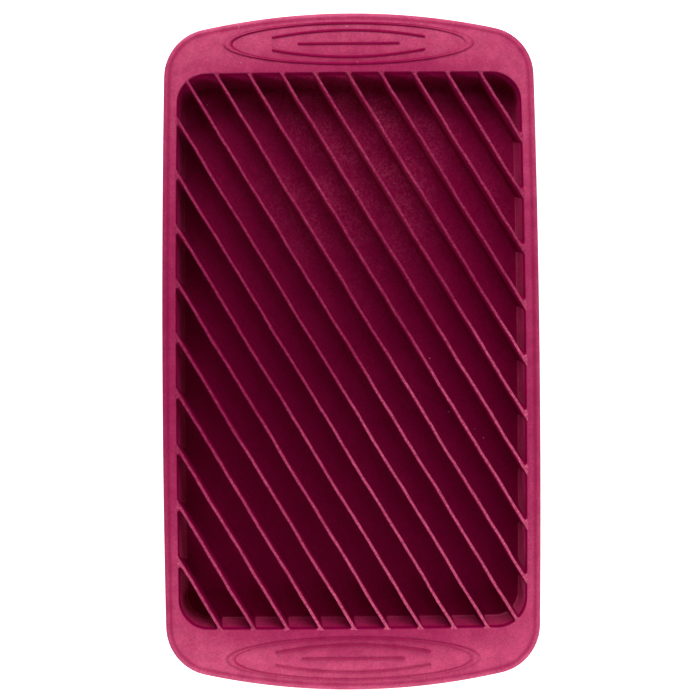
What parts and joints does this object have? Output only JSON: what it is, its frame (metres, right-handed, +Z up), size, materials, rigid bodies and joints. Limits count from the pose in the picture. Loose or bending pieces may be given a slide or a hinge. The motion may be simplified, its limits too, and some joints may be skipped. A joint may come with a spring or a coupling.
{
  "type": "baguette tray",
  "caption": "Shallow moulded silicone baking tray with diagonal dividers forming narrow stick channels and a flat grip at each end.",
  "frame": {"origin": "centre of the flat underside of the floor", "axes": "+Z up out of the channels, +Y along the tray's length towards the rear handle, +X to the right across the tray"},
  "size_m": [0.1992, 0.357, 0.0186],
  "materials": {
    "silicone": "matte raspberry silicone",
    "wire": "drawn stainless wire"
  },
  "bodies": {
    "root": {"divider_01": "silicone", "divider_02": "silicone", "divider_03": "silicone", "divider_04": "silicone", "divider_05": "silicone", "divider_06": "silicone", "divider_07": "silicone", "divider_08": "silicone", "divider_09": "silicone", "divider_10": "silicone", "divider_11": "silicone", "divider_12": "silicone", "divider_13": "silicone", "divider_14": "silicone", "divider_15": "silicone", "divider_16": "silicone", "divider_17": "silicone", "divider_18": "silicone", "divider_19": "silicone", "floor_panel": "silicone", "front_grip_ridge_inner": "silicone", "front_grip_ridge_middle": "silicone", "front_grip_ridge_outer": "silicone", "front_grip_ring": "silicone", "front_handle": "silicone", "front_wall": "silicone", "left_rail": "silicone", "left_wall": "silicone", "rear_grip_ridge_inner": "silicone", "rear_grip_ridge_middle": "silicone", "rear_grip_ridge_outer": "silicone", "rear_grip_ring": "silicone", "rear_handle": "silicone", "rear_wall": "silicone", "right_rail": "silicone", "right_wall": "silicone", "rim_wire": "wire"}
  },
  "joints": []
}
